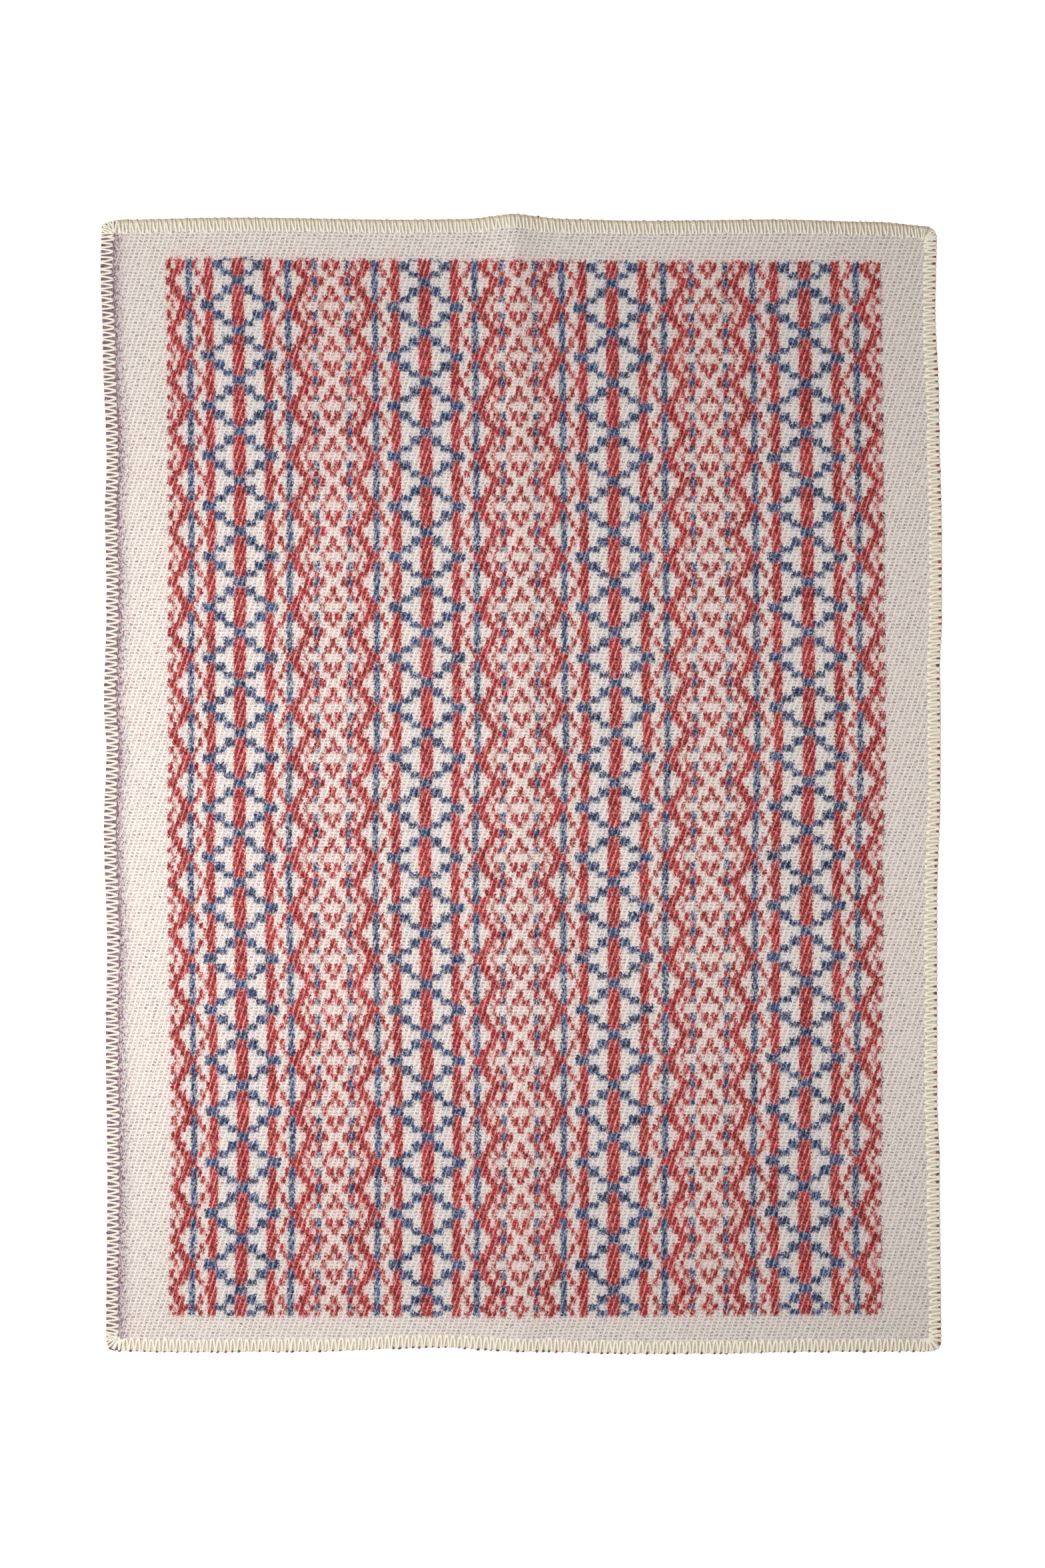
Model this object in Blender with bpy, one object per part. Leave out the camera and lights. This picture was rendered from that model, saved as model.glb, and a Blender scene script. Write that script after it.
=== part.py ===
"""Woven baby blanket with an overlocked yarn edging, laid flat.

The blanket lies face up on a level surface. X runs across it, Y along it and Z up, in metres, and the
origin is under the middle of its box. Everything is laid out first as a level rounded rectangle, the
pattern that the cloth was cut to. The function laid() then moves each point to where the cloth lies:
the sides wander, a storage crease stands up along the middle, and the rim lifts a little in places.
"""

import math

import bmesh
import bpy
import numpy as np
from mathutils import Matrix

# Driving dimensions.
WIDTH = 0.664
LENGTH = 0.900
CLOTH_THICKNESS = 0.0026  # brushed double cloth, lying free
RIM_THICKNESS = 0.0018  # the same cloth, pressed by the stitches
YARN_LAYER = 0.0008  # the edging yarn over, under and round the cut edge
EDGING_DEPTH = 0.0104  # how far the stitches reach in from the edge
GAP = 0.0003  # between the cloth and the yarn round it

# What follows from them.
HALF_WIDTH = WIDTH / 2
HALF_LENGTH = LENGTH / 2
RIM_INSET = YARN_LAYER + GAP
RIM_BOTTOM = YARN_LAYER + GAP
EDGING_HEIGHT = 2 * (YARN_LAYER + GAP) + RIM_THICKNESS
FLAT_BAND = EDGING_DEPTH + 0.0026  # the cloth stays level this far in, past the yarn
SLOPE_END = 0.034  # and has come down to the surface this far in
WANDER_REACH = 0.090  # how far in from a side its wandering is felt

# Corners: on which side of the middle they lie (x, y), how much of the side and of the end each takes
# off, and how straight the cut is, from 0 for a round corner to 1 for a slanting one.
CORNERS = {
    # name: (x side, y side, leg along x, leg along y, straightness)
    "top_left": (-1, 1, 0.0140, 0.0080, 0.75),
    "top_right": (1, 1, 0.0095, 0.0095, 0.0),
    "bottom_right": (1, -1, 0.0080, 0.0080, 0.0),
    "bottom_left": (-1, -1, 0.0100, 0.0100, 0.0),
}
NEAR_SIDE = (0.0, 0.25, 0.5)  # steps round a corner, from the left or right side to its middle
NEAR_END = (0.5, 0.75, 1.0)  # and from its middle to the top or the bottom
INNER_LEG = 0.0010  # what is left of a corner's legs at the inner edge of the stitches

# How far each side stands out from its straight line: (place along the side, outwards).
TOP_WANDER = (
    (-0.332, -0.0004),
    (-0.225, 0.0014),
    (-0.095, -0.0002),
    (-0.045, 0.0000),
    (-0.006, 0.0024),
    (0.036, 0.0000),
    (0.095, -0.0010),
    (0.200, -0.0002),
    (0.280, -0.0020),
    (0.332, -0.0058),
)
BOTTOM_WANDER = (
    (-0.332, -0.0008),
    (-0.285, 0.0006),
    (-0.170, 0.0002),
    (-0.065, -0.0034),
    (0.000, -0.0004),
    (0.080, 0.0018),
    (0.160, 0.0016),
    (0.230, 0.0002),
    (0.332, 0.0000),
)
LEFT_WANDER = (
    (-0.450, -0.0014),
    (-0.310, -0.0024),
    (-0.200, -0.0012),
    (-0.130, -0.0022),
    (-0.035, 0.0004),
    (0.030, -0.0018),
    (0.062, 0.0002),
    (0.150, -0.0018),
    (0.220, -0.0004),
    (0.255, -0.0018),
    (0.350, 0.0012),
    (0.412, 0.0030),
    (0.450, 0.0020),
)
RIGHT_WANDER = (
    (-0.450, 0.0024),
    (-0.300, 0.0012),
    (-0.250, -0.0006),
    (-0.090, -0.0008),
    (0.000, 0.0018),
    (0.060, 0.0020),
    (0.095, 0.0014),
    (0.130, 0.0030),
    (0.190, 0.0030),
    (0.300, 0.0008),
    (0.380, -0.0022),
    (0.450, -0.0012),
)

# The storage crease: (place along the blanket, where its crest lies across, how high it stands).
CREASE = (
    (-0.450, 0.0010, 0.0036),
    (-0.360, 0.0008, 0.0024),
    (-0.120, 0.0010, 0.0026),
    (0.120, 0.0004, 0.0028),
    (0.260, -0.0020, 0.0034),
    (0.360, -0.0045, 0.0062),
    (0.450, -0.0062, 0.0108),
)
CREASE_ROUND = 0.0050  # radius of the crest
CREASE_REACH = 0.0215  # the distance over which the height falls to about a third
CREASE_FOOT = 0.00015  # where the crease would be lower than this, the cloth lies on the surface

# Places where the rim has lifted off the surface: (across, along, height, reach across, reach along).
LIFTS = (
    (-0.332, 0.045, 0.0013, 0.034, 0.060),
    (-0.065, -0.450, 0.0016, 0.060, 0.036),
    (0.225, 0.450, 0.0014, 0.075, 0.034),
    (0.332, -0.060, 0.0010, 0.030, 0.085),
    (0.145, -0.450, 0.0012, 0.065, 0.030),
    (-0.215, 0.450, 0.0008, 0.060, 0.030),
)

# Grid lines across and along, from the middle of the blanket, close together where it bends.
COLUMNS = (
    -0.312, -0.304, -0.294, -0.270, -0.235, -0.200, -0.165, -0.130, -0.098, -0.072, -0.052, -0.038,
    -0.028, -0.020, -0.0135, -0.008, -0.0035, 0.0005, 0.005, 0.0105, 0.017, 0.025, 0.036, 0.052,
    0.074, 0.102, 0.135, 0.168, 0.200, 0.235, 0.270, 0.298, 0.308, 0.316,
)
ROWS = (
    -0.434, -0.425, -0.414, -0.392, -0.360, -0.320, -0.275, -0.230, -0.185, -0.140, -0.095, -0.050,
    0.000, 0.045, 0.090, 0.135, 0.180, 0.225, 0.265, 0.300, 0.330, 0.358, 0.384, 0.406, 0.420, 0.432,
)

# The edging's section as a channel that is open inwards: (in from the edge, up from the surface).
EDGING_SECTION = (
    (EDGING_DEPTH, 0.0),
    (0.0010, 0.0),
    (0.0003, 0.0004),
    (0.0, 0.0012),
    (0.0, EDGING_HEIGHT - 0.0012),
    (0.0003, EDGING_HEIGHT - 0.0004),
    (0.0010, EDGING_HEIGHT),
    (EDGING_DEPTH - 0.0006, EDGING_HEIGHT),
    (EDGING_DEPTH, EDGING_HEIGHT - 0.0004),
    (EDGING_DEPTH, EDGING_HEIGHT - YARN_LAYER),
    (YARN_LAYER, EDGING_HEIGHT - YARN_LAYER),
    (YARN_LAYER, YARN_LAYER),
    (EDGING_DEPTH, YARN_LAYER),
)

CLOTH_COLOUR = (0.752, 0.680, 0.610, 1.0)
EDGING_COLOUR = (0.855, 0.810, 0.655, 1.0)
SHARP_ANGLE = math.radians(40)


def eased(t):
    """0 below 0, 1 above 1, and 3t² - 2t³ between."""
    t = np.clip(t, 0.0, 1.0)
    return t * t * (3.0 - 2.0 * t)


def along_table(table, at, column=1):
    """A table's column at a place, with an eased step from each row to the next."""
    places = np.array([row[0] for row in table])
    values = np.array([row[column] for row in table])
    at = np.clip(at, places[0], places[-1])
    i = np.clip(np.searchsorted(places, at) - 1, 0, len(places) - 2)
    share = eased((at - places[i]) / (places[i + 1] - places[i]))
    return values[i] + (values[i + 1] - values[i]) * share


def wandered(x, y):
    """The plan point moved as the sides wander: most at a side, nothing WANDER_REACH further in."""
    near_left = eased(1 - (x + HALF_WIDTH) / WANDER_REACH)
    near_right = eased(1 - (HALF_WIDTH - x) / WANDER_REACH)
    near_bottom = eased(1 - (y + HALF_LENGTH) / WANDER_REACH)
    near_top = eased(1 - (HALF_LENGTH - y) / WANDER_REACH)
    across = near_right * along_table(RIGHT_WANDER, y) - near_left * along_table(LEFT_WANDER, y)
    along = near_top * along_table(TOP_WANDER, x) - near_bottom * along_table(BOTTOM_WANDER, x)
    return x + across, y + along


def lift(x, y):
    """How far the cloth stands off the surface.

    The crease is a tent: its height times e to the power of minus the distance from the crest over
    its reach, with the distance rounded off near the crest. Each lifted place is a bell. The stitched
    band is level across its depth, so both are read at its inner edge there.
    """
    x = np.clip(x, FLAT_BAND - HALF_WIDTH, HALF_WIDTH - FLAT_BAND)
    y = np.clip(y, FLAT_BAND - HALF_LENGTH, HALF_LENGTH - FLAT_BAND)
    off_crest = x - along_table(CREASE, y, 1)
    rounded = np.sqrt(off_crest**2 + CREASE_ROUND**2) - CREASE_ROUND
    height = along_table(CREASE, y, 2) * np.exp(-rounded / CREASE_REACH)
    height = np.maximum(height - CREASE_FOOT, 0.0)
    for across, along, top, reach_x, reach_y in LIFTS:
        bell = eased(1 - np.hypot((x - across) / reach_x, (y - along) / reach_y) / 1.5)
        height = height + top * bell
    return height


def laid(x, y, z):
    """A point of the level pattern, moved to where the cloth lies."""
    moved_x, moved_y = wandered(x, y)
    return moved_x, moved_y, z + lift(x, y)


def side_point(side, place, inset):
    """A plan point on a straight stretch of a side, inset from the edge."""
    if side == "top":
        return place, HALF_LENGTH - inset
    if side == "bottom":
        return place, inset - HALF_LENGTH
    if side == "left":
        return inset - HALF_WIDTH, place
    return HALF_WIDTH - inset, place


def corner_point(corner, step, inset):
    """A plan point on a corner, from its long side (step 0) to its end (step 1), inset from the edge.

    The corner is a quarter ellipse blended with the straight cut between its ends, and its legs
    shrink evenly from the edge to the inner side of the stitches.
    """
    x_side, y_side, leg_x, leg_y, straightness = CORNERS[corner]
    shrunk = inset / EDGING_DEPTH
    leg_x = leg_x + (INNER_LEG - leg_x) * shrunk
    leg_y = leg_y + (INNER_LEG - leg_y) * shrunk
    turn = step * math.pi / 2
    out_x = (1 - straightness) * math.cos(turn) + straightness * (1 - step)
    out_y = (1 - straightness) * math.sin(turn) + straightness * step
    x = x_side * (HALF_WIDTH - inset - leg_x * (1 - out_x))
    y = y_side * (HALF_LENGTH - inset - leg_y * (1 - out_y))
    return x, y


def side_stations(side, first_corner, first_steps, last_corner, last_steps):
    """The stations of one side in order: the first corner's, the straight ones and the last corner's."""
    places = COLUMNS if side in ("top", "bottom") else ROWS
    stations = [(corner_point, first_corner, step) for step in first_steps]
    stations += [(side_point, side, place) for place in places]
    stations += [(corner_point, last_corner, step) for step in last_steps]
    return stations


def plan(stations, inset):
    """The plan points of some stations at one inset, as an array."""
    return np.array([function(name, value, inset) for function, name, value in stations])


def filled_grid(bottom, top, left, right):
    """The points between four sides that share their corners: a Coons patch.

    Each inner point is the blend of the two long sides plus the blend of the two ends, less the
    blend of the four corners.
    """
    across = (bottom[:, 0] + top[:, 0]) / 2
    along = (left[:, 1] + right[:, 1]) / 2
    u = ((across - across[0]) / (across[-1] - across[0]))[:, None, None]
    v = ((along - along[0]) / (along[-1] - along[0]))[None, :, None]
    ends = (1 - v) * bottom[:, None] + v * top[:, None]
    sides = (1 - u) * left[None, :] + u * right[None, :]
    corners = (
        (1 - u) * (1 - v) * bottom[0] + u * (1 - v) * bottom[-1] + (1 - u) * v * top[0] + u * v * top[-1]
    )
    return ends + sides - corners


def depth_in(x, y):
    """How far a plan point lies in from the nearest side of the straight rectangle."""
    return np.minimum(HALF_WIDTH - np.abs(x), HALF_LENGTH - np.abs(y))


def plain_finish(name, colour, roughness):
    """A material of one colour."""
    material = bpy.data.materials.new(name)
    material.use_nodes = True
    surface = material.node_tree.nodes["Principled BSDF"]
    surface.inputs["Base Color"].default_value = colour
    surface.inputs["Roughness"].default_value = roughness
    surface.inputs["Metallic"].default_value = 0.0
    return material


def finished(name, shape, material):
    """An object made of a bmesh, shaded smooth but for its sharp edges."""
    bmesh.ops.recalc_face_normals(shape, faces=shape.faces)
    mesh = bpy.data.meshes.new(name)
    shape.to_mesh(mesh)
    shape.free()
    mesh.shade_smooth()
    mesh.set_sharp_from_angle(angle=SHARP_ANGLE)
    piece = bpy.data.objects.new(name, mesh)
    piece.data.materials.append(material)
    bpy.context.scene.collection.objects.link(piece)
    return piece


def point_grid(shape, x, y, z):
    """A bmesh's new vertices for a grid of points, as columns of rows."""
    return [[shape.verts.new(point) for point in zip(*column)] for column in zip(x, y, z)]


def make_cloth():
    """The cloth: a grid for its face, one for its underside, and a wall round its cut edge.

    Near the rim the cloth is thinner and raised, to make room for the yarn under it.
    """
    bottom, top = (
        plan(side_stations(side, f"{side}_left", NEAR_END, f"{side}_right", NEAR_END[::-1]), RIM_INSET)
        for side in ("bottom", "top")
    )
    left, right = (
        plan(side_stations(side, f"bottom_{side}", NEAR_SIDE[::-1], f"top_{side}", NEAR_SIDE), RIM_INSET)
        for side in ("left", "right")
    )
    points = filled_grid(bottom, top, left, right)
    x, y = points[..., 0], points[..., 1]
    settled = eased((depth_in(x, y) - FLAT_BAND) / (SLOPE_END - FLAT_BAND))
    underside = RIM_BOTTOM * (1 - settled)
    face = underside + RIM_THICKNESS + (CLOTH_THICKNESS - RIM_THICKNESS) * settled

    shape = bmesh.new()
    upper = point_grid(shape, *laid(x, y, face))
    lower = point_grid(shape, *laid(x, y, underside))
    columns, rows = x.shape
    for i in range(columns - 1):
        for j in range(rows - 1):
            for sheet in (upper, lower):
                shape.faces.new((sheet[i][j], sheet[i + 1][j], sheet[i + 1][j + 1], sheet[i][j + 1]))
    loop = [(i, 0) for i in range(columns - 1)]
    loop += [(columns - 1, j) for j in range(rows - 1)]
    loop += [(i, rows - 1) for i in range(columns - 1, 0, -1)]
    loop += [(0, j) for j in range(rows - 1, 0, -1)]
    for (i, j), (next_i, next_j) in zip(loop, loop[1:] + loop[:1]):
        shape.faces.new((upper[i][j], upper[next_i][next_j], lower[next_i][next_j], lower[i][j]))
    return finished("blanket_cloth", shape, plain_finish("cream_cloth", CLOTH_COLOUR, 0.95))


def make_edging(side, stations):
    """One run of the edging: its channel section carried along the stations, with capped ends.

    The first and last sections stand back by half a gap, so that the runs don't touch.
    """
    sections = np.stack([plan(stations, inset) for inset, _ in EDGING_SECTION], axis=1)
    for end, inner in ((0, 1), (-1, -2)):
        back = sections[inner] - sections[end]
        sections[end] += back / np.linalg.norm(back, axis=1, keepdims=True) * (GAP / 2)
    heights = np.array([up for _, up in EDGING_SECTION])

    shape = bmesh.new()
    rings = []
    for section in sections:
        points = zip(*laid(section[:, 0], section[:, 1], heights))
        rings.append([shape.verts.new(point) for point in points])
    count = len(heights)
    for ring, following in zip(rings, rings[1:]):
        for k in range(count):
            after = (k + 1) % count
            shape.faces.new((ring[k], ring[after], following[after], following[k]))
    shape.faces.new(rings[0])
    shape.faces.new(rings[-1])
    return finished(f"edging_{side}", shape, plain_finish(f"ivory_yarn_{side}", EDGING_COLOUR, 0.9))


def centre(pieces):
    """Moves the meshes so that the origin is under the middle of the box of them all."""
    points = np.array([vert.co for piece in pieces for vert in piece.data.vertices])
    low, high = points.min(axis=0), points.max(axis=0)
    shift = Matrix.Translation((-(low[0] + high[0]) / 2, -(low[1] + high[1]) / 2, -low[2]))
    for piece in pieces:
        piece.data.transform(shift)


for old in list(bpy.data.objects):
    bpy.data.objects.remove(old)

# The left run takes the whole slanting corner, and the top run starts beside it.
WHOLE_CORNER = NEAR_SIDE + NEAR_END[1:]
RUNS = {
    "top": side_stations("top", "top_left", NEAR_END[-1:], "top_right", NEAR_END[::-1]),
    "right": side_stations("right", "bottom_right", NEAR_SIDE[::-1], "top_right", NEAR_SIDE),
    "bottom": side_stations("bottom", "bottom_left", NEAR_END, "bottom_right", NEAR_END[::-1]),
    "left": side_stations("left", "bottom_left", NEAR_SIDE[::-1], "top_left", WHOLE_CORNER),
}
blanket = [make_cloth()]
blanket += [make_edging(side, stations) for side, stations in RUNS.items()]
centre(blanket)
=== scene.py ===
import math

import bpy
import numpy as np
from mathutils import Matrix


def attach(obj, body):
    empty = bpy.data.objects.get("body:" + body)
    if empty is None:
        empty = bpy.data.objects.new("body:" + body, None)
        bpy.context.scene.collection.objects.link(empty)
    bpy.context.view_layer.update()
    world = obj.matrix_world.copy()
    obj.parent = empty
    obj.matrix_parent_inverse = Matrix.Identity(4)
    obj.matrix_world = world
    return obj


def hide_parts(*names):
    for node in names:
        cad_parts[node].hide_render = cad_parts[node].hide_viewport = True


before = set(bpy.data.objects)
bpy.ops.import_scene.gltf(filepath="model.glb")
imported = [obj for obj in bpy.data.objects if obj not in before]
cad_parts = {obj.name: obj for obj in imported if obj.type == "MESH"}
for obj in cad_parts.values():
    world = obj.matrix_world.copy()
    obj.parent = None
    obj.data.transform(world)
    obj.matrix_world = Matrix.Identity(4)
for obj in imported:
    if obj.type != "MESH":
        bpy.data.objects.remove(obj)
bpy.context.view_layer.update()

# THE CLOTH
# A wool double cloth, woven on a loom as one sheet and then brushed on its face. Red and navy bands
# run along it on a cream ground. It was cut to a rectangle and lies as it was unfolded from storage.

# The pattern that it was cut to, in metres, as in the part's own source.
WIDTH = 0.664
LENGTH = 0.900
CLOTH_THICKNESS = 0.0026
RIM_THICKNESS = 0.0018
YARN_LAYER = 0.0008
EDGING_DEPTH = 0.0104
GAP = 0.0003
HALF_WIDTH = WIDTH / 2
HALF_LENGTH = LENGTH / 2
RIM_INSET = YARN_LAYER + GAP
RIM_BOTTOM = YARN_LAYER + GAP
FLAT_BAND = EDGING_DEPTH + 0.0026
SLOPE_END = 0.034
WANDER_REACH = 0.090

# Corners: sides of the middle (x, y), what each takes off the side and the end, straightness.
CORNERS = {
    "top_left": (-1, 1, 0.0135, 0.0048, 0.55),
    "top_right": (1, 1, 0.0095, 0.0095, 0.0),
    "bottom_right": (1, -1, 0.0080, 0.0080, 0.0),
    "bottom_left": (-1, -1, 0.0100, 0.0100, 0.0),
}
INNER_LEG = 0.0010

# How far each side stands out from its straight line: (place along the side, outwards).
TOP_WANDER = (
    (-0.332, -0.0004), (-0.225, 0.0014), (-0.095, -0.0002), (-0.045, 0.0000), (-0.006, 0.0024),
    (0.036, 0.0000), (0.095, -0.0010), (0.200, -0.0002), (0.280, -0.0020), (0.332, -0.0058),
)
BOTTOM_WANDER = (
    (-0.332, -0.0008), (-0.285, 0.0006), (-0.170, 0.0002), (-0.065, -0.0034), (0.000, -0.0004),
    (0.080, 0.0018), (0.160, 0.0016), (0.230, 0.0002), (0.332, 0.0000),
)
LEFT_WANDER = (
    (-0.450, -0.0014), (-0.310, -0.0024), (-0.200, -0.0012), (-0.130, -0.0022), (-0.035, 0.0004),
    (0.030, -0.0018), (0.062, 0.0002), (0.150, -0.0018), (0.220, -0.0004), (0.255, -0.0018),
    (0.350, 0.0012), (0.412, 0.0030), (0.450, 0.0020),
)
RIGHT_WANDER = (
    (-0.450, 0.0024), (-0.300, 0.0012), (-0.250, -0.0006), (-0.090, -0.0008), (0.000, 0.0018),
    (0.060, 0.0020), (0.095, 0.0014), (0.130, 0.0030), (0.190, 0.0030), (0.300, 0.0008),
    (0.380, -0.0022), (0.450, -0.0012),
)

# The storage crease (place along, where its crest lies across, height) and the lifts of the rim
# (across, along, height, reach across, reach along).
CREASE = (
    (-0.450, 0.0010, 0.0036), (-0.360, 0.0008, 0.0024), (-0.120, 0.0010, 0.0026),
    (0.120, 0.0004, 0.0028), (0.260, -0.0020, 0.0034), (0.360, -0.0045, 0.0062),
    (0.450, -0.0062, 0.0108),
)
CREASE_ROUND = 0.0050
CREASE_REACH = 0.0215
CREASE_FOOT = 0.00015
LIFTS = (
    (-0.332, 0.045, 0.0013, 0.034, 0.060), (-0.065, -0.450, 0.0016, 0.060, 0.036),
    (0.225, 0.450, 0.0014, 0.075, 0.034), (0.332, -0.060, 0.0010, 0.030, 0.085),
    (0.145, -0.450, 0.0012, 0.065, 0.030), (-0.215, 0.450, 0.0008, 0.060, 0.030),
)


def eased(t):
    """0 below 0, 1 above 1, and 3t² - 2t³ between."""
    t = np.clip(t, 0.0, 1.0)
    return t * t * (3.0 - 2.0 * t)


def along_table(table, at, column=1):
    """A table's column at a place, with an eased step from each row to the next."""
    table = np.asarray(table, float)
    places, values = table[:, 0], table[:, column]
    at = np.clip(at, places[0], places[-1])
    i = np.clip(np.searchsorted(places, at) - 1, 0, len(places) - 2)
    share = eased((at - places[i]) / (places[i + 1] - places[i]))
    return values[i] + (values[i + 1] - values[i]) * share


def wandered(x, y):
    """The plan point moved as the sides wander: most at a side, nothing WANDER_REACH further in."""
    near_left = eased(1 - (x + HALF_WIDTH) / WANDER_REACH)
    near_right = eased(1 - (HALF_WIDTH - x) / WANDER_REACH)
    near_bottom = eased(1 - (y + HALF_LENGTH) / WANDER_REACH)
    near_top = eased(1 - (HALF_LENGTH - y) / WANDER_REACH)
    across = near_right * along_table(RIGHT_WANDER, y) - near_left * along_table(LEFT_WANDER, y)
    along = near_top * along_table(TOP_WANDER, x) - near_bottom * along_table(BOTTOM_WANDER, x)
    return x + across, y + along


def lift(x, y):
    """How far the cloth stands off the floor.

    The crease is a tent: its height times e to the power of minus the distance from the crest over
    its reach, with the distance rounded off near the crest. Each lifted place is a bell.
    """
    x = np.clip(x, FLAT_BAND - HALF_WIDTH, HALF_WIDTH - FLAT_BAND)
    y = np.clip(y, FLAT_BAND - HALF_LENGTH, HALF_LENGTH - FLAT_BAND)
    off_crest = x - along_table(CREASE, y, 1)
    rounded = np.sqrt(off_crest**2 + CREASE_ROUND**2) - CREASE_ROUND
    height = along_table(CREASE, y, 2) * np.exp(-rounded / CREASE_REACH)
    height = np.maximum(height - CREASE_FOOT, 0.0)
    for across, along, top, reach_x, reach_y in LIFTS:
        bell = eased(1 - np.hypot((x - across) / reach_x, (y - along) / reach_y) / 1.5)
        height = height + top * bell
    return height


def corner_line(corner, steps, inset):
    """Plan points on a corner, from its long side (step 0) to its end (step 1), inset from the edge.

    The corner is a quarter ellipse blended with the straight cut between its ends, and its legs
    shrink evenly from the edge to the inner side of the stitches.
    """
    x_side, y_side, leg_x, leg_y, straightness = CORNERS[corner]
    shrunk = inset / EDGING_DEPTH
    leg_x = leg_x + (INNER_LEG - leg_x) * shrunk
    leg_y = leg_y + (INNER_LEG - leg_y) * shrunk
    turn = steps * math.pi / 2
    out_x = (1 - straightness) * np.cos(turn) + straightness * (1 - steps)
    out_y = (1 - straightness) * np.sin(turn) + straightness * steps
    x = x_side * (HALF_WIDTH - inset - leg_x * (1 - out_x))
    y = y_side * (HALF_LENGTH - inset - leg_y * (1 - out_y))
    return np.stack([x, y], axis=1)


def side_line(side, places, inset):
    """Plan points on the straight stretch of a side, inset from the edge."""
    if side in ("top", "bottom"):
        y_side = 1 if side == "top" else -1
        return np.stack([places, np.full_like(places, y_side * (HALF_LENGTH - inset))], axis=1)
    x_side = 1 if side == "right" else -1
    return np.stack([np.full_like(places, x_side * (HALF_WIDTH - inset)), places], axis=1)


def outline(side, first, last, inset):
    """Plan points on a side between two corners: (corner, its steps), side, (corner, its steps)."""
    places = ACROSS if side in ("top", "bottom") else ALONG
    return np.concatenate([
        corner_line(*first, inset), side_line(side, places, inset), corner_line(*last, inset)])


def spread_places(low, high, spacing):
    """Places from low to high, as close together as the spacing there says.

    The steps of a fine table, each over its own spacing, are summed, and the sum is cut evenly.
    """
    fine = np.linspace(low, high, 4000)
    steps = np.concatenate([[0.0], np.cumsum(np.diff(fine) / spacing(fine[:-1]))])
    return np.interp(np.linspace(0, steps[-1], int(round(steps[-1])) + 1), steps, fine)


ACROSS = spread_places(
    -0.3165, 0.3215, lambda x: 0.0052 - 0.0030 * eased((0.040 - (HALF_WIDTH - np.abs(x))) / 0.016)
    - 0.0026 * eased((0.024 - np.abs(x + 0.002)) / 0.010))
ALONG = spread_places(
    -0.4390, 0.4390, lambda y: 0.0056 - 0.0034 * eased((0.040 - (HALF_LENGTH - np.abs(y))) / 0.016))
HALF_CORNER = np.linspace(0, 0.5, 5)

bottom, top = (
    outline(side, (f"{side}_left", HALF_CORNER + 0.5), (f"{side}_right", 1 - HALF_CORNER), RIM_INSET)
    for side in ("bottom", "top")
)
left, right = (
    outline(side, (f"bottom_{side}", 0.5 - HALF_CORNER), (f"top_{side}", HALF_CORNER), RIM_INSET)
    for side in ("left", "right")
)

# The sheet's plan is filled in between its four sides, which share their corners: each point is the
# blend of the two long sides plus the blend of the two ends, less the blend of the four corners.
across_mean = (bottom[:, 0] + top[:, 0]) / 2
along_mean = (left[:, 1] + right[:, 1]) / 2
u = ((across_mean - across_mean[0]) / np.ptp(across_mean))[:, None, None]
v = ((along_mean - along_mean[0]) / np.ptp(along_mean))[None, :, None]
plan = (
    (1 - v) * bottom[:, None] + v * top[:, None] + (1 - u) * left[None, :] + u * right[None, :]
    - (1 - u) * (1 - v) * bottom[0] - u * (1 - v) * bottom[-1] - (1 - u) * v * top[0] - u * v * top[-1]
)
plan_x, plan_y = plan[..., 0], plan[..., 1]

ROLL_WIDTH = 0.0128  # along the left side the cut edge is rolled over once, reverse side up
ROLL_RISE = 0.0006
ROLL_BLEND = 0.0024
NAP_RELIEF = 0.00022  # the brushed nap is a little thicker in some places than in others
WALL_BULGE = 0.0004  # the cut edge is rounded


def soft_relief(x, y, cell, seed):
    """Smooth random relief between -1 and 1: random heights on a square grid, eased in between."""
    heights = np.random.default_rng(seed).uniform(-1, 1, (256, 256))
    i, j = np.floor(x / cell).astype(int), np.floor(y / cell).astype(int)
    s, t = eased(x / cell - i), eased(y / cell - j)
    near, far = (
        heights[i % 256, k % 256] * (1 - s) + heights[(i + 1) % 256, k % 256] * s for k in (j, j + 1))
    return near * (1 - t) + far * t


depth_in = np.minimum(HALF_WIDTH - np.abs(plan_x), HALF_LENGTH - np.abs(plan_y))
settled = eased((depth_in - FLAT_BAND) / (SLOPE_END - FLAT_BAND))
from_left = plan_x + HALF_WIDTH
rolled = eased((ROLL_WIDTH + ROLL_BLEND / 2 - from_left) / ROLL_BLEND)
under_height = RIM_BOTTOM * (1 - settled)
face_height = under_height + RIM_THICKNESS + (CLOTH_THICKNESS - RIM_THICKNESS) * settled
face_height = face_height + ROLL_RISE * rolled * eased((from_left - RIM_INSET) / 0.0050)
face_height = face_height + NAP_RELIEF * settled * (
    0.6 * soft_relief(plan_x, plan_y, 0.013, 5) + 0.4 * soft_relief(plan_x, plan_y, 0.031, 6))

laid_x, laid_y = wandered(plan_x, plan_y)
laid_z = lift(plan_x, plan_y)

# The part's own source centres the box of its solids, whose widest outline is the edging's.
rim_lines = [
    outline(side, (f"{side}_left", HALF_CORNER * 2), (f"{side}_right", 1 - HALF_CORNER * 2), 0.0)
    for side in ("bottom", "top")
] + [side_line(side, ALONG, 0.0) for side in ("left", "right")]
rim_all = np.stack(wandered(*np.concatenate(rim_lines).T), axis=1)
SHIFT = -(rim_all.min(axis=0) + rim_all.max(axis=0)) / 2

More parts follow.
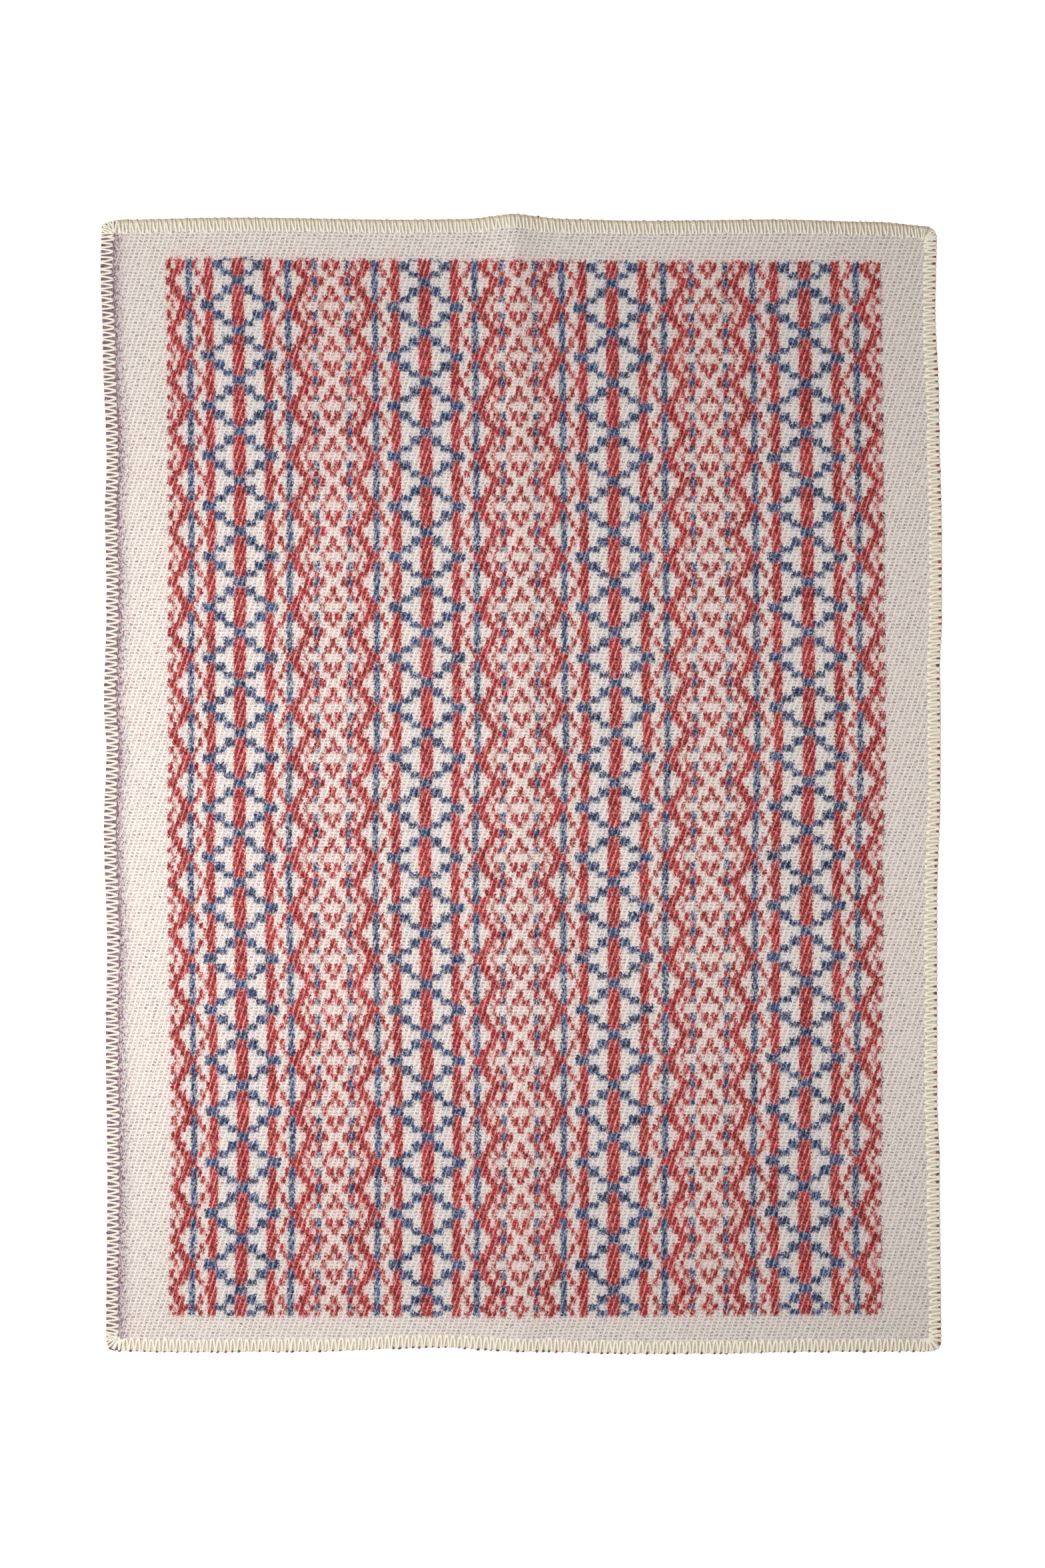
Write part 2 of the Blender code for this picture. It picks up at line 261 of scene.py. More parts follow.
# Where the loom's threads lie in the cloth. The middle lines of the four bands of hearts are 182 warp
# ends apart, and the chart repeats every 16 picks; brushing and pressing have pulled both about.
# Heart lines: (along, across at each line). Crossings: (number from the top, along at three lines).
HEART_LINES = (
    (-0.4150, -0.2230, -0.0751, 0.0732, 0.2259),
    (-0.3290, -0.2213, -0.0744, 0.0734, 0.2247),
    (-0.2660, -0.2209, -0.0742, 0.0735, 0.2253),
    (-0.1690, -0.2223, -0.0754, 0.0737, 0.2264),
    (-0.0540, -0.2241, -0.0763, 0.0733, 0.2265),
    (-0.0080, -0.2239, -0.0761, 0.0743, 0.2281),
    (0.0320, -0.2232, -0.0748, 0.0757, 0.2290),
    (0.0940, -0.2237, -0.0750, 0.0747, 0.2281),
    (0.1920, -0.2232, -0.0750, 0.0737, 0.2274),
    (0.3120, -0.2240, -0.0760, 0.0728, 0.2259),
    (0.4130, -0.2255, -0.0769, 0.0717, 0.2246),
)
CROSSINGS = (
    (0, 0.4015, 0.3992, 0.3988), (4, 0.2427, 0.2416, 0.2410), (8, 0.0818, 0.0818, 0.0826),
    (12, -0.0767, -0.0770, -0.0747), (16, -0.2379, -0.2384, -0.2357), (20, -0.4001, -0.4009, -0.3990),
)
ENDS_BETWEEN_HEARTS = 182
PICKS_IN_REPEAT = 16
CROSSING_PICK = 1.22  # where the navy crossing on a heart line lies in its repeat
END_PITCH = 0.000816  # metres between warp ends
LEFT_PITCH, RIGHT_PITCH = 0.000794, 0.000840  # outside the first and the last heart line
PICK_PITCH = 0.002504


def woven_place(x, y):
    """How many ends right of the first heart line, and picks down the chart, a laid point lies.

    The ends come from the lines to the point's left and right, and the picks from the crossings
    above and below it. Outside the outer ones, the threads keep their own even pitch.
    """
    lines = np.asarray(HEART_LINES)
    at_y = np.clip(y, lines[0, 0], lines[-1, 0])
    hearts = [np.interp(at_y, lines[:, 0], lines[:, k]) for k in range(1, 5)]
    ends = (x - hearts[0]) / LEFT_PITCH
    for k in range(3):
        share = (x - hearts[k]) / (hearts[k + 1] - hearts[k])
        ends = np.where(x > hearts[k], (k + share) * ENDS_BETWEEN_HEARTS, ends)
    ends = np.where(x > hearts[3], 3 * ENDS_BETWEEN_HEARTS + (x - hearts[3]) / RIGHT_PITCH, ends)

    rows = np.asarray(CROSSINGS)
    to_middle = np.clip((x - hearts[0]) / -hearts[0], 0, 1)
    to_right = np.clip(x / hearts[3], 0, 1)
    levels = [row[1] + (row[2] - row[1]) * to_middle + (row[3] - row[2]) * to_right for row in rows]
    picks = (levels[0] - y) / PICK_PITCH
    for row, following, level, lower in zip(rows, rows[1:], levels, levels[1:]):
        count = (following[0] - row[0]) * PICKS_IN_REPEAT
        past = row[0] * PICKS_IN_REPEAT + (level - y) / (level - lower) * count
        picks = np.where(y < level, past, picks)
    past_last = rows[-1, 0] * PICKS_IN_REPEAT + (levels[-1] - y) / PICK_PITCH
    picks = np.where(y < levels[-1], past_last, picks) + CROSSING_PICK
    return ends, picks


def quads(grid):
    """The corners of a grid's faces, taken from an array with one row for each grid point."""
    return np.stack([grid[:-1, :-1], grid[1:, :-1], grid[1:, 1:], grid[:-1, 1:]], axis=2).reshape(
        -1, 4, *grid.shape[2:])


# The face, the underside, and a rounded wall round the cut edge between them.
columns, rows_along = plan_x.shape
count = columns * rows_along
face_points = np.stack([laid_x, laid_y, laid_z + face_height], axis=2)
under_points = np.stack([laid_x, laid_y, laid_z + under_height], axis=2)
face_index = np.arange(count).reshape(columns, rows_along)
rim_index = np.concatenate([
    face_index[:-1, 0], face_index[-1, :-1], face_index[:0:-1, -1], face_index[0, :0:-1]])
rim_face = face_points.reshape(-1, 3)[rim_index]
rim_under = under_points.reshape(-1, 3)[rim_index]
along_rim = np.roll(rim_face, -1, axis=0) - np.roll(rim_face, 1, axis=0)
outward = np.stack([along_rim[:, 1], -along_rim[:, 0], 0 * along_rim[:, 0]], axis=1)
outward /= np.linalg.norm(outward, axis=1, keepdims=True)
rim_middle = (rim_face + rim_under) / 2 + outward * WALL_BULGE
points = np.concatenate([face_points.reshape(-1, 3), under_points.reshape(-1, 3), rim_middle])
points[:, :2] += SHIFT

loop = np.append(np.arange(len(rim_index)), 0)
wall_index = np.stack([rim_index[loop] + count, loop + 2 * count, rim_index[loop]], axis=1)
faces = np.concatenate([
    quads(face_index), quads(face_index + count)[:, ::-1], quads(wall_index)])

# The weave map holds the ends and picks. The bake map lays the face and the underside side by side.
ends, picks = woven_place(laid_x, laid_y)
weave = np.stack([ends, picks], axis=2).reshape(-1, 2)
weave_all = np.concatenate([weave, weave, weave[rim_index]])
flat_u = (plan_x + HALF_WIDTH) / WIDTH
flat_v = (plan_y + HALF_LENGTH) / LENGTH
bake_face = np.stack([0.004 + 0.488 * flat_u, 0.02 + 0.976 * flat_v], axis=2)
bake_under = bake_face + [0.504, 0.0]
wall_u = np.linspace(0.004, 0.996, len(loop))
bake_wall = np.stack([np.stack([wall_u, np.full_like(wall_u, level)], axis=1) for level in
                      (0.004, 0.009, 0.014)], axis=1)
bake_corners = np.concatenate([quads(bake_face), quads(bake_under)[:, ::-1], quads(bake_wall)])

# How far each point belongs to the reverse of the cloth: all of the underside, and the rolled strip,
# which changes to the face over one reach within its inner border and another beyond it.
WITHIN_STRIP, BEYOND_STRIP = 0.008, 0.020
from_edge = laid_x - wandered(-HALF_WIDTH + 0 * plan_y, plan_y)[0]
reach = np.where(from_edge > ROLL_WIDTH, BEYOND_STRIP, WITHIN_STRIP)
strip = np.clip(0.5 + (ROLL_WIDTH - from_edge) / reach, 0, 1)
reverse = np.concatenate([strip.ravel(), np.ones(count), np.full(len(rim_index), 0.55)])


def put_in_scene(name, data):
    """An object of that data, in the scene."""
    made = bpy.data.objects.new(name, data)
    bpy.context.scene.collection.objects.link(made)
    return made


def mesh_object(name, points, faces, caps=()):
    """An object made of points and four-cornered faces, with caps of more corners, shaded smooth."""
    mesh = bpy.data.meshes.new(name)
    mesh.from_pydata(points, [], faces.tolist() + [list(cap) for cap in caps])
    mesh.shade_smooth()
    return put_in_scene(name, mesh)


def lay_map(piece, name, corners):
    """Gives a piece a UV map from an array with one row for each face corner."""
    layer = piece.data.uv_layers.new(name=name)
    layer.data.foreach_set("uv", np.ascontiguousarray(corners, dtype=np.float32).ravel())


def mark_points(piece, name, values):
    """Gives a piece a number at each point, which its material reads."""
    piece.data.attributes.new(name, "FLOAT", "POINT").data.foreach_set(
        "value", np.ascontiguousarray(values, dtype=np.float32).ravel())


cloth = mesh_object("woven_cloth", points, faces)
lay_map(cloth, "weave", weave_all[faces])
lay_map(cloth, "OFBake", bake_corners)
mark_points(cloth, "reverse", reverse)

# The cloth is greyer towards the right side and the two ends, painted shade, and the stitches cover the
# edge.
to_right = (1 + plan_x / HALF_WIDTH) / 2
painted_falloff = 0.30 * to_right + (0.44 - 0.26 * to_right) * eased((plan_y - 0.12) / 0.30)
painted_falloff = np.clip(painted_falloff + (0.24 + 0.16 * to_right) * eased((-plan_y - 0.16) / 0.28), 0, 1)
bound = eased((EDGING_DEPTH + 0.0012 - depth_in) / 0.0036)
for name, grid in (("painted_falloff", painted_falloff), ("bound", bound)):
    mark_points(cloth, name, np.concatenate([grid.ravel(), grid.ravel(), grid.ravel()[rim_index]]))


def linear(code):
    """An sRGB hex colour as the linear values that a shader takes."""
    levels = np.array([int(code[place:place + 2], 16) for place in (1, 3, 5)]) / 255
    curved = np.where(levels <= 0.04045, levels / 12.92, ((levels + 0.055) / 1.055) ** 2.4)
    return (*curved.tolist(), 1.0)


def shown(node):
    """The first output that a node has in use."""
    return next(output for output in node.outputs if output.enabled)


USUAL = {"Mix": {"data_type": "RGBA"}}  # every mix here is of colours


def add(tree, kind, *inputs, **settings):
    """Adds a shader node with its settings. Its open inputs, in their order, take values or nodes."""
    made = tree.nodes.new("ShaderNode" + kind)
    for name, value in {**USUAL.get(kind, {}), **settings}.items():
        setattr(made, name, value)
    open_inputs = [socket for socket in made.inputs if socket.enabled]
    for socket, value in zip(open_inputs, inputs):
        if isinstance(value, bpy.types.Node):
            value = shown(value)
        if isinstance(value, bpy.types.NodeSocket):
            tree.links.new(value, socket)
        elif value is not None:
            socket.default_value = value
    return made


# The chart, from a heart line to the middle between two of them, which mirrors it: for each kind of
# pick, the first end of each stretch and its yarn. Red is carried by the first number, navy by the
# third, and a faint yarn has a lower one.
YARNS = {
    "cream": (0, 0, 0, 1), "red": (1, 0, 0, 1), "navy": (0, 0, 1, 1),
    "faint red": (0.66, 0, 0, 1), "faint navy": (0, 0, 0.80, 1),
}
CHART = {
    "A": ((0, "navy"), (5.9, "cream"), (24.5, "red"), (36.4, "cream"), (45.3, "faint navy"),
          (51.7, "cream"), (62.2, "red"), (71.9, "navy"), (77.4, "red"), (83.6, "cream")),
    "B": ((0, "red"), (5.4, "navy"), (15.6, "cream"), (24.5, "red"), (32.9, "cream"), (37.0, "red"),
          (42.3, "cream"), (45.3, "faint navy"), (51.7, "cream"), (56.8, "red"), (67.4, "cream"),
          (71.9, "red"), (77.6, "cream"), (87.8, "red")),
    "C": ((0, "red"), (5.7, "cream"), (14.0, "navy"), (25.0, "red"), (32.9, "cream"), (41.1, "red"),
          (45.3, "navy"), (51.7, "red"), (62.0, "cream"), (66.2, "red"), (71.7, "faint navy"),
          (77.5, "cream"), (82.4, "red"), (89.5, "cream")),
    "D": ((0, "red"), (5.7, "cream"), (23.9, "navy"), (37.0, "cream"), (45.3, "red"), (58.6, "cream"),
          (62.8, "faint red"), (67.0, "cream"), (77.6, "faint red"), (83.0, "cream")),
}
# The order of the picks, as how many of each kind follow each other.
ORDER = (("A", 3), ("B", 3), ("C", 2), ("D", 3), ("C", 3), ("B", 2))
PICK_KINDS = {"A": (1, 0, 0, 1), "B": (0, 1, 0, 1), "C": (0, 0, 1, 1), "D": (0, 0, 0, 1)}
BAND_ENDS = (-71.9, 619.0)  # the outermost ends of the pattern
BAND_PICKS = (-5.6, 329.7)
TURNS = (-3.5, 327.0)  # the picks past which the weaver went back through the order


def stepped(ramp, stops):
    """Gives a colour ramp hard steps: (place from 0 to 1, colour)."""
    ramp.color_ramp.interpolation = "CONSTANT"
    steps = ramp.color_ramp.elements
    while len(steps) < len(stops):
        steps.new(1.0)
    for step, (place, colour) in zip(steps, stops):
        step.position, step.color = place, colour


chart = bpy.data.node_groups.new("woven_chart", "ShaderNodeTree")
for name in ("Ends", "Picks"):
    chart.interface.new_socket(name, in_out="INPUT", socket_type="NodeSocketFloat")
chart.interface.new_socket("Yarn", in_out="OUTPUT", socket_type="NodeSocketColor")
entry = chart.nodes.new("NodeGroupInput")
half_way = ENDS_BETWEEN_HEARTS / 2
from_heart = add(chart, "Math", entry.outputs["Ends"], half_way, operation="PINGPONG")
from_heart = add(chart, "Math", from_heart, half_way, operation="DIVIDE")
turned = add(chart, "Math", entry.outputs["Picks"], TURNS[0], operation="SUBTRACT")
turned = add(chart, "Math", turned, TURNS[1] - TURNS[0], operation="PINGPONG")
turned = add(chart, "Math", turned, TURNS[0], operation="ADD")
in_repeat = add(chart, "Math", turned, PICKS_IN_REPEAT, operation="FLOORED_MODULO")
in_repeat = add(chart, "Math", in_repeat, PICKS_IN_REPEAT, operation="DIVIDE")
kind_of_pick = add(chart, "ValToRGB", in_repeat)
first_picks = np.cumsum([0] + [number for _, number in ORDER[:-1]]) / PICKS_IN_REPEAT
stepped(kind_of_pick, [(place, PICK_KINDS[kind]) for place, (kind, _) in zip(first_picks.tolist(), ORDER)])
kinds = add(chart, "SeparateColor", kind_of_pick)
yarn = None
for kind in ("D", "A", "B", "C"):
    row = add(chart, "ValToRGB", from_heart)
    stepped(row, [(end / half_way, YARNS[name]) for end, name in CHART[kind]])
    if yarn is None:
        yarn = row
    else:
        yarn = add(chart, "Mix", kinds.outputs["ABC".index(kind)], yarn, row)
for socket, (low, high) in (("Ends", BAND_ENDS), ("Picks", BAND_PICKS)):
    middle, reach = (low + high) / 2, (high - low) / 2
    inside = add(chart, "Math", entry.outputs[socket], middle, reach, operation="COMPARE")
    yarn = add(chart, "Mix", inside, YARNS["cream"], yarn)
chart.links.new(shown(yarn), chart.nodes.new("NodeGroupOutput").inputs[0])


def new_material(name, levels):
    """A material, its node tree and its surface shader, with the shader's levels set by name."""
    made = bpy.data.materials.new(name)
    made.use_nodes = True
    surface = made.node_tree.nodes["Principled BSDF"]
    for level, value in levels.items():
        surface.inputs[level].default_value = value
    return made, made.node_tree, surface


def finish_surface(colour, relief=None, strength=1.0, height=0.0):
    """Joins a colour to the surface, and a relief as bumps of that strength and height in metres."""
    tree.links.new(shown(colour), surface.inputs["Base Color"])
    if relief is not None:
        bump = add(tree, "Bump", strength, height)
        tree.links.new(relief.outputs[0], bump.inputs["Height"])
        tree.links.new(bump.outputs[0], surface.inputs["Normal"])


# Double-cloth wool, brushed: each yarn is matt and a little translucent at the tips of its fibres,
# the floats lie in steep lines with the paler warp between them, and the nap blurs every edge
# along the length. Pitches are those of the threads: 0.816 mm across and 2.504 mm along.
brushed_wool, tree, surface = new_material("brushed_double_cloth_wool", {
    "Roughness": 0.95, "Specular IOR Level": 0.15, "IOR": 1.54,
    "Sheen Weight": 0.07, "Sheen Roughness": 0.6})

threads = add(tree, "UVMap", uv_map="weave")
split = add(tree, "SeparateXYZ", threads)
end, pick = split.outputs[0], split.outputs[1]
millimetres = add(
    tree, "VectorMath", threads, (END_PITCH * 1000, PICK_PITCH * 1000, 0), operation="MULTIPLY")


def noise_over(stretch, detail, roughness, dimensions="3D"):
    """Noise over the cloth, with so many steps to the millimetre across and along.

    The stretch's third number only tells one field from another.
    """
    place = add(tree, "VectorMath", millimetres, stretch, operation="MULTIPLY")
    return add(tree, "TexNoise", place, 1.0, detail, roughness, noise_dimensions=dimensions)


# Fibres: streaks about 0.6 mm wide and 1.8 mm long, brushed along the length. Locks: the wisps that
# stray over a figure's edge, 1.2 mm by 1.7 mm. Tufts: the clumps that they lie in, about 2 mm wide
# and 4 mm long. Wear: patches of 30 to 60 mm, more or less felted.
fibres, locks, tufts = (
    add(tree, "SeparateColor", noise_over(*field).outputs["Color"]).outputs
    for field in (((1.60, 0.55, 0), 1.6, 0.55, "2D"), ((0.85, 0.58, 3), 1.4, 0.5),
                  ((0.50, 0.26, 7), 2.0, 0.55))
)
wear = add(tree, "MapRange", noise_over((0.030, 0.022, 0), 2.0, 0.5, "2D"), 0.32, 0.68)


def weighted(*terms, start=0.0):
    """A start plus fields times their weights: (field, weight) pairs, added in their order."""
    total = start
    for field, weight in terms:
        total = add(tree, "Math", field, weight, total, operation="MULTIPLY_ADD")
    return total


def strayed(coordinate, fibre, fibre_reach, tuft, tuft_reach):
    """A thread coordinate, moved four times a reach times how far a noise is from its middle."""
    moved = weighted((fibre, 4 * fibre_reach), (tuft, 4 * tuft_reach), start=coordinate)
    return add(tree, "Math", moved, 2 * (fibre_reach + tuft_reach), operation="SUBTRACT")


def charted(end_at, pick_at):
    """The chart's yarn at a place, as its red and navy shares."""
    group = add(tree, "Group")
    group.node_tree = chart
    tree.links.new(end_at.outputs[0], group.inputs[0])
    tree.links.new(pick_at.outputs[0], group.inputs[1])
    return add(tree, "SeparateColor", group.outputs[0]).outputs


# The chart is read three times: where the yarn lies, where its loose fibres reach, and how far the
# finest of them have spread and tinted the cream.
close = charted(strayed(end, locks[0], 1.7, tufts[0], 1.1),
                strayed(pick, locks[1], 0.75, tufts[1], 0.40))
loose = charted(strayed(end, locks[2], 3.0, tufts[1], 1.5),
                strayed(pick, fibres[0], 1.6, tufts[2], 0.7))
spread = charted(strayed(end, fibres[1], 7.0, tufts[2], 3.5),
                 strayed(pick, fibres[2], 5.5, tufts[0], 2.0))
# Towards both ends of the cloth more loose fibres lie over the cream.
from_middle = add(tree, "Math", pick, sum(BAND_PICKS) / 2, operation="SUBTRACT")
from_middle = add(tree, "Math", from_middle, operation="ABSOLUTE")
fuller = add(tree, "MapRange", from_middle, 55.0, 125.0, 0.0, 0.04, interpolation_type="SMOOTHSTEP")
looser = add(tree, "Math", fuller, 14.0, 1.0, operation="MULTIPLY_ADD")
covers = []
for channel, bare, full in ((0, 1.32, 2.26), (2, 1.38, 2.34)):
    cover = weighted(
        (loose[channel], 0.40), (close[channel], 0.80), (locks[1], 2.4), start=fuller)
    cover = add(tree, "MapRange", cover, bare, full, interpolation_type="SMOOTHSTEP")
    reach = add(tree, "Math", close[channel], loose[channel], operation="MAXIMUM")
    reach = add(tree, "Math", reach, operation="CEIL")
    covers.append(add(tree, "Math", cover, reach, operation="MULTIPLY"))
red_cover, navy_cover = covers

# The twill: the paler warp shows as a thin line on every fifth end, one end further left with each
# pick down: half of that step is a slant over the pick, and half a jump to the next. A thin rung of
# weft crosses between the lines at each pick. A cell is what they leave.
shaken_end = strayed(end, fibres[2], 0.34, tufts[1], 0.5)
shaken_pick = strayed(pick, fibres[0], 0.09, tufts[2], 0.25)
cell_pick = add(tree, "Math", shaken_pick, operation="ROUND")
line_step = add(tree, "Math", shaken_pick, cell_pick, operation="ADD")
line_turn = add(tree, "Math", line_step, 0.5, shaken_end, operation="MULTIPLY_ADD")
line_turn = add(tree, "Math", line_turn, 5.0, operation="DIVIDE")
off_line = add(tree, "Math", line_turn, 0.5, operation="PINGPONG")
off_join = add(tree, "Math", shaken_pick, 0.5, operation="PINGPONG")
warp_line, wide_line, cell_width, rung, cell_height = (
    add(tree, "MapRange", off, none, whole, interpolation_type="SMOOTHSTEP")
    for off, none, whole in ((off_line, 0.16, 0.05), (off_line, 0.21, 0.06), (off_line, 0.10, 0.26),
                             (off_join, 0.29, 0.44), (off_join, 0.36, 0.18))
)
pit = add(tree, "Math", cell_width, cell_height, operation="MULTIPLY")

# Each cell shows a different amount of the reverse, in small marks about 1 mm across: a random
# number for each cell says how deep they are.
cell_end = add(tree, "Math", line_turn, operation="FLOOR")
cell = add(tree, "CombineXYZ", cell_end, cell_pick, 0.0)
chance = add(tree, "TexWhiteNoise", cell, noise_dimensions="2D")
chance = add(tree, "SeparateColor", chance.outputs["Color"]).outputs
marks = add(tree, "MapRange", noise_over((1.15, 0.80, 5), 1.0, 0.5), 0.42, 0.60, 0.05, 1.15)
marks = add(tree, "Math", marks, pit, operation="MULTIPLY")

# The ground: cream wool, lightest along the warp lines and the rungs. Painted shade makes it greyer
# towards the right side and the ends, with deeper and more navy marks in its cells there.
falloff_shade = add(tree, "Attribute", attribute_name="painted_falloff").outputs["Fac"]
CREAM_DEEP = linear("#D9CBC2")
lit = weighted((warp_line, 0.85), (rung, 0.50), (fibres[0], 0.60), (chance[2], 0.20))
lit = add(tree, "Math", lit, 0.26, operation="SUBTRACT", use_clamp=True)
# Painted light: the cream is lighter along the raised warp lines and rungs, as highlight, and deeper in
# the cells, as shade.
ground = add(tree, "Mix", lit, CREAM_DEEP, linear("#EBE2DA"))
# In the cells of the ground, the red and navy of the other side show through the gaps.
through = add(tree, "MapRange", wear, 0.35, 0.65, 0.25, -0.25)
through = add(tree, "Math", through, chance[1], operation="ADD")
# With the painted shade, more of the colour that shows through is navy towards the right side and the
# ends.
through = add(tree, "Math", falloff_shade, 0.6, through, operation="MULTIPLY_ADD")
through = add(tree, "MapRange", through, 0.45, 0.65)
through = add(tree, "Mix", through, linear("#83484E"), linear("#545A70"))
mark_depth = add(tree, "Math", chance[0], 1.7, operation="POWER")
mark_depth = add(tree, "MapRange", mark_depth, 0.0, 1.0, 0.30, 1.0)
# Painted shade: the marks are deeper towards the right side and the ends.
mark_more = add(tree, "MapRange", falloff_shade, 0.0, 0.6, 0.90, 1.20)
mark_depth = add(tree, "Math", mark_depth, mark_more, operation="MULTIPLY")
mark_depth = add(tree, "Math", mark_depth, marks, operation="MULTIPLY", use_clamp=True)
ground = add(tree, "Mix", mark_depth, ground, through)
# Painted shade: grey towards the right side and the ends.
falloff_shade_share = add(tree, "Math", falloff_shade, 0.45, operation="MULTIPLY")
ground = add(tree, "Mix", falloff_shade_share, ground, linear("#B4ACA0"))

# Stray coloured fibres tint the cream beside the red and the navy.
for channel, tint in ((2, "#BBB9C3"), (0, "#DFA7A1")):
    haze = weighted((loose[channel], 0.34), (spread[channel], 0.38))
    haze = add(tree, "Math", haze, looser, operation="MULTIPLY", use_clamp=True)
    ground = add(tree, "Mix", haze, ground, linear(tint))
# Painted highlight once more along the warp lines and rungs, over the tint, and the marks darker again.
for field, weight, tint in ((lit, 0.20, "#FBF5ED"), (marks, 0.28, "#7B7480")):
    net = add(tree, "Math", field, weight, operation="MULTIPLY")
    ground = add(tree, "Mix", net, ground, linear(tint))

# Red wool and navy wool: deep between the warp lines, and paled along them, where warp and nap
# cover the colour. Each is a little more faded in the worn patches.
shade = weighted((wear, 0.15), (chance[1], 0.20), (tufts[1], 1.5), start=fibres[2])
shade = add(tree, "MapRange", shade, 1.20, 1.70)
# Painted shade: the wool is darkest in the pits of its cells.
wool_pit = add(tree, "Math", marks, 0.80, operation="MULTIPLY")
veil = weighted((rung, 0.10), (wide_line, 0.66))
veil_varied = weighted((tufts[1], 1.6), start=fibres[1])
veil_varied = add(tree, "MapRange", veil_varied, 1.05, 1.55, 0.20, 1.20)
veil = add(tree, "Math", veil, veil_varied, operation="MULTIPLY", use_clamp=True)
face_colour = ground
for cover, deep, bright, pit_colour, pale, veiled in (
    (red_cover, "#760C14", "#BC383A", "#5A1018", "#E6AEA6", 1.0),
    (navy_cover, "#101A38", "#3E5482", "#12172E", "#A9AFC0", 0.9),
):
    wool = add(tree, "Mix", shade, linear(deep), linear(bright))
    # Painted shade in the pits.
    wool = add(tree, "Mix", wool_pit, wool, linear(pit_colour))
    paled = add(tree, "Math", veil, veiled, operation="MULTIPLY")
    wool = add(tree, "Mix", paled, wool, linear(pale))
    face_colour = add(tree, "Mix", cover, face_colour, wool)

# Under the stitches the cloth is tan, most at the edge: painted shade between the legs, with the dust and
# loose wool that they hold.
bound = add(tree, "Attribute", attribute_name="bound").outputs["Fac"]
dust_and_shade = add(tree, "MapRange", fibres[1], 0.35, 0.65, 0.40, 0.78)
dust_and_shade = add(tree, "Math", dust_and_shade, bound, operation="MULTIPLY")
face_colour = add(tree, "Mix", dust_and_shade, face_colour, linear("#D2C3AC"))

# The reverse: where the face is cream the red and navy lie here, and the figures are in cream.
bands = add(tree, "MapRange", noise_over((0.55, 0.45, 3), 3.0, 0.6), 0.44, 0.56)
back_wool = add(tree, "Mix", bands, linear("#74323E"), linear("#3A4060"))
back_lit = add(tree, "MapRange", fibres[2], 0.38, 0.66, 0.0, 0.70)
back_wool = add(tree, "Mix", back_lit, back_wool, linear("#A8929E"))
figure = add(tree, "Math", close[0], close[2], operation="MAXIMUM")
figure = add(tree, "Math", figure, 0.8, operation="MULTIPLY")
back_colour = add(tree, "Mix", figure, back_wool, CREAM_DEEP)
side_mark = add(tree, "Attribute", attribute_name="reverse").outputs["Fac"]
side_turn = weighted((fibres[0], 1.6), (tufts[0], 1.6), start=side_mark)
side_turn = add(tree, "MapRange", side_turn, 2.0, 2.30)
# Beside the rolled strip its lilac fluff has rubbed off on the cream.
rubbed = add(tree, "MapRange", side_mark, 0.0, 0.5, 0.0, 0.50)
rubbed = add(tree, "Math", rubbed, tufts[2], operation="MULTIPLY")
face_colour = add(tree, "Mix", rubbed, face_colour, linear("#9C7F98"))
colour = add(tree, "Mix", side_turn, face_colour, back_colour)

relief = weighted((warp_line, 0.5), (marks, -0.5), (rung, 0.3), start=fibres[0])
finish_surface(colour, relief, 0.35, 0.0003)

cloth.data.materials.append(brushed_wool)
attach(cloth, "root")
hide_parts("blanket_cloth")

# THE OVERLOCKED EDGING
# Ivory two-ply wool yarn, sewn by machine over the cut edge. Each stitch is a V on the face: both its
# legs come up at its point, run out to the edge, turn round it and go back under the cloth.

# For each side: the pitch at the start, middle and end of its run, how deep the stitches reach, half
# the yarn's width, half the gap between a V's legs at its point and at the edge, how far the V leans
# along the run, how round its point is, how much the cloth lifts the yarn, and the jitter's seed.
STITCHES = {
    "top": ((0.00547, 0.00550, 0.00595), 0.0112, 0.00088, 0.0009, 0.0020, -0.0013, 0.0, 0.0002, 11),
    "right": ((0.00598, 0.00550, 0.00550), 0.0104, 0.00100, 0.0007, 0.0020, 0.0010, 0.3, 0.0002, 12),
    "bottom": ((0.00556, 0.00514, 0.00554), 0.0103, 0.00094, 0.0008, 0.0019, -0.0003, 0.5, 0.0002, 13),
    "left": ((0.00533, 0.00557, 0.00553), 0.0106, 0.00084, 0.0006, 0.0021, 0.0000, 0.4, 0.0005, 14),
}
HALF_CORNER_CROWDED, WHOLE_CORNER_CROWDED = 0.010, 0.016  # how far stitches crowd from a run's end
CROWDED_PITCH = 0.50  # their pitch there, as a share of the side's own
YARN_TALL = 0.00050  # the yarn's height over its middle, as it lies
TURN_START = 0.0013  # how far in from the edge a leg starts to turn round it
PLY_TURN = 0.0042  # one full turn of its two plies
# The yarn's section, over its half width and its height: flat below, where it is pressed on the cloth.
YARN_SECTION = np.array([(1.0, -0.40), (0.74, 0.62), (0.0, 1.0), (-0.74, 0.62), (-1.0, -0.40)])
LEG_STATIONS = 11
LEG_CORNERS = len(YARN_SECTION)

# Where each side's run starts and stops: a corner, and the steps of it that belong to the run.
half_corner = np.linspace(0, 0.5, 7)
RUNS = {
    "top": (("top_left", np.array([1.0])), ("top_right", 1 - half_corner)),
    "right": (("bottom_right", 0.5 - half_corner), ("top_right", half_corner)),
    "bottom": (("bottom_left", half_corner + 0.5), ("bottom_right", 1 - half_corner)),
    "left": (("bottom_left", 0.5 - half_corner), ("top_left", np.linspace(0, 1, 13))),
}


def run_lines(side):
    """A run's outer and inner line, and the length halfway between them at each of its stations."""
    outer, inner = (outline(side, *RUNS[side], inset) for inset in (0.0, EDGING_DEPTH))
    steps = np.linalg.norm(np.diff((outer + inner) / 2, axis=0), axis=1)
    return outer, inner, np.concatenate([[0.0], np.cumsum(steps)])


